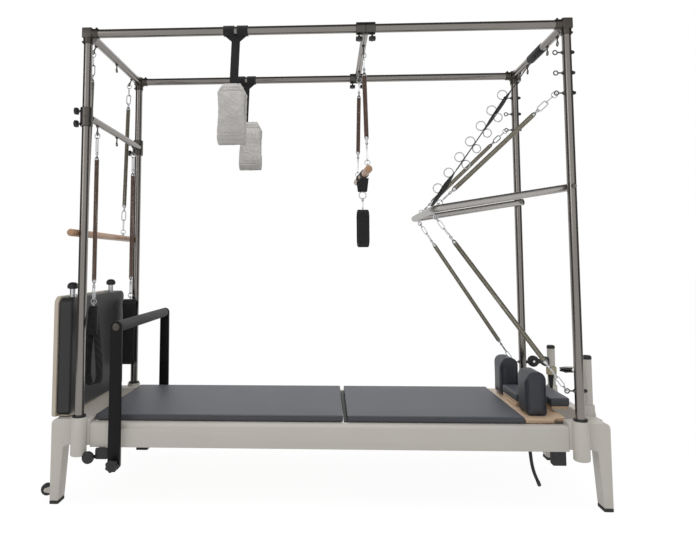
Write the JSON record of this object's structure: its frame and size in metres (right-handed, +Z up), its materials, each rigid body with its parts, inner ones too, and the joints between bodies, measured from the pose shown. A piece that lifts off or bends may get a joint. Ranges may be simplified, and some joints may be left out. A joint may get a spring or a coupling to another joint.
{
  "type": "pilates trapeze table with reformer bed",
  "caption": "Raised bed with a sliding carriage, shoulder rests and foot bar under a four-post tube frame that carries springs, bars, slings and fleece loops.",
  "frame": {"origin": "centre of the bounding box on the floor, under the feet", "axes": "+X along the bed to the head (rope pulley) end, +Y to the rear side, +Z up"},
  "size_m": [2.3984, 0.8066, 2.071],
  "materials": {
    "painted_white": "satin powder coat",
    "steel": "satin stainless",
    "black_metal": "satin powder coat",
    "aluminium": "satin",
    "vinyl": "satin upholstery vinyl",
    "dark_vinyl": "satin upholstery vinyl",
    "birch": "clear lacquer",
    "beige_board": "satin paint",
    "dowel": "clear lacquer",
    "rubber": "matt",
    "foam": "matt",
    "black_plastic": "matt",
    "spring_grey": "bright drawn wire",
    "spring_brown": "bright drawn wire",
    "fleece": "deep pile",
    "webbing": "woven"
  },
  "bodies": {
    "frame": {"side_rail_front": "painted_white", "side_rail_rear": "painted_white", "foot_end_frame": "painted_white", "head_end_frame": "painted_white", "rubber_foot_foot_front": "rubber", "rubber_foot_foot_rear": "rubber", "rubber_foot_head_front": "rubber", "rubber_foot_head_rear": "rubber", "spring_bar": "black_metal", "foot_post_front": "steel", "foot_post_rear": "steel", "head_post_front": "steel", "head_post_rear": "steel", "top_rail_head": "steel", "top_rail_foot": "steel", "top_rail_front": "steel", "top_rail_rear": "steel", "push_spring_upper_front": "spring_grey", "push_spring_upper_rear": "spring_grey", "push_spring_lower_front": "spring_grey", "push_spring_lower_rear": "spring_grey", "safety_strap": "webbing"},
    "transport_wheel_front": {"transport_wheel_front": "rubber"},
    "transport_wheel_rear": {"transport_wheel_rear": "rubber"},
    "jump_board": {"jump_board_panel": "beige_board", "jump_board_pad": "dark_vinyl"},
    "foot_bar": {"foot_bar_frame": "black_metal", "foot_bar_grip": "foam"},
    "foot_bar_knob_front": {"foot_bar_knob_front": "black_plastic"},
    "foot_bar_knob_rear": {"foot_bar_knob_rear": "black_plastic"},
    "filler_mat": {"filler_board": "birch", "filler_pad": "vinyl"},
    "carriage": {"carriage_chassis": "aluminium", "carriage_pad": "vinyl", "carriage_deck": "birch", "shoulder_rest_front": "dark_vinyl", "shoulder_rest_rear": "dark_vinyl", "rope_tail": "webbing"},
    "headrest": {"headrest_board": "birch", "headrest_pad": "vinyl"},
    "riser_front": {"riser_front": "painted_white"},
    "riser_rear": {"riser_rear": "painted_white"},
    "pulley_front": {"pulley_front": "black_plastic"},
    "pulley_rear": {"pulley_rear": "black_plastic"},
    "foot_crossbar": {"foot_crossbar": "steel"},
    "leg_hanger_front": {"leg_spring_front": "spring_brown", "leg_loop_front": "webbing"},
    "leg_hanger_rear": {"leg_spring_rear": "spring_brown", "leg_loop_rear": "webbing"},
    "roll_down": {"roll_down_bar": "dowel", "roll_down_spring_front": "spring_grey", "roll_down_spring_rear": "spring_grey"},
    "trapeze_slider": {"trapeze_slider": "steel"},
    "trapeze": {"trapeze_bar": "dowel", "trapeze_spring_front": "spring_brown", "trapeze_spring_rear": "spring_brown", "trapeze_sling": "webbing"},
    "fleece_loop_front": {"fleece_loop_front": "fleece"},
    "fleece_loop_rear": {"fleece_loop_rear": "fleece"},
    "push_bar": {"push_bar": "steel"}
  },
  "joints": [
    {"name": "transport_wheel_front_spin", "type": "hinge", "parent": "frame", "child": "transport_wheel_front", "pos_m": [-1.1748, -0.3105, 0.05], "axis": [0, 1, 0], "continuous": true},
    {"name": "transport_wheel_rear_spin", "type": "hinge", "parent": "frame", "child": "transport_wheel_rear", "pos_m": [-1.1748, 0.3105, 0.05], "axis": [0, 1, 0], "continuous": true},
    {"name": "jump_board_lift", "type": "slide", "parent": "frame", "child": "jump_board", "axis": [0, 0, 1], "range_m": [0, 0.1]},
    {"name": "foot_bar_fold", "type": "hinge", "parent": "frame", "child": "foot_bar", "pos_m": [-0.8648, 0, 0.178], "axis": [0, 1, 0], "range_deg": [0, 60]},
    {"name": "foot_bar_knob_front_turn", "type": "hinge", "parent": "frame", "child": "foot_bar_knob_front", "pos_m": [-0.8648, -0.3925, 0.178], "axis": [0, 1, 0], "continuous": true},
    {"name": "foot_bar_knob_rear_turn", "type": "hinge", "parent": "frame", "child": "foot_bar_knob_rear", "pos_m": [-0.8648, 0.3925, 0.178], "axis": [0, 1, 0], "continuous": true},
    {"name": "filler_mat_lift", "type": "slide", "parent": "frame", "child": "filler_mat", "axis": [0, 0, 1], "range_m": [0, 0.06]},
    {"name": "carriage_travel", "type": "slide", "parent": "frame", "child": "carriage", "axis": [1, 0, 0], "range_m": [-0.01, 0.02]},
    {"name": "headrest_tilt", "type": "hinge", "parent": "carriage", "child": "headrest", "pos_m": [0.8942, 0, 0.372], "axis": [0, -1, 0], "range_deg": [0, 25]},
    {"name": "riser_front_height", "type": "slide", "parent": "frame", "child": "riser_front", "axis": [0, 0, 1], "range_m": [0, 0.05]},
    {"name": "riser_rear_height", "type": "slide", "parent": "frame", "child": "riser_rear", "axis": [0, 0, 1], "range_m": [0, 0.05]},
    {"name": "pulley_front_spin", "type": "hinge", "parent": "riser_front", "child": "pulley_front", "pos_m": [1.0802, -0.206, 0.548], "axis": [0, 0, 1], "continuous": true},
    {"name": "pulley_rear_spin", "type": "hinge", "parent": "riser_rear", "child": "pulley_rear", "pos_m": [1.0802, 0.206, 0.515], "axis": [0, 1, 0], "continuous": true},
    {"name": "foot_crossbar_height", "type": "slide", "parent": "frame", "child": "foot_crossbar", "axis": [0, 0, 1], "range_m": [-0.04, 0.2]},
    {"name": "leg_hanger_front_swing", "type": "hinge", "parent": "foot_crossbar", "child": "leg_hanger_front", "pos_m": [-1.0178, -0.245, 1.615], "axis": [0, -1, 0], "range_deg": [-1, 4]},
    {"name": "leg_hanger_rear_swing", "type": "hinge", "parent": "foot_crossbar", "child": "leg_hanger_rear", "pos_m": [-1.0178, 0.245, 1.615], "axis": [0, -1, 0], "range_deg": [-1, 4]},
    {"name": "roll_down_swing", "type": "hinge", "parent": "frame", "child": "roll_down", "pos_m": [-1.0457, 0, 1.9981], "axis": [0, 1, 0], "range_deg": [0, 25]},
    {"name": "trapeze_slider_travel", "type": "slide", "parent": "frame", "child": "trapeze_slider", "axis": [1, 0, 0], "range_m": [-0.3, 0.02]},
    {"name": "trapeze_swing", "type": "hinge", "parent": "trapeze_slider", "child": "trapeze", "pos_m": [0.2112, 0, 1.994], "axis": [0, 1, 0], "range_deg": [-12, 12]},
    {"name": "fleece_loop_front_swing", "type": "hinge", "parent": "frame", "child": "fleece_loop_front", "pos_m": [-0.3758, -0.35, 2.044], "axis": [1, 0, 0], "range_deg": [-30, 30]},
    {"name": "fleece_loop_rear_swing", "type": "hinge", "parent": "frame", "child": "fleece_loop_rear", "pos_m": [-0.3758, 0.35, 2.044], "axis": [1, 0, 0], "range_deg": [-30, 30]},
    {"name": "push_bar_swing", "type": "hinge", "parent": "frame", "child": "push_bar", "pos_m": [1.0742, 0, 1.338], "axis": [0, 1, 0], "range_deg": [0, 60], "deforming": ["push_spring_upper_front", "push_spring_upper_rear", "push_spring_lower_front", "push_spring_lower_rear", "safety_strap"]}
  ]
}
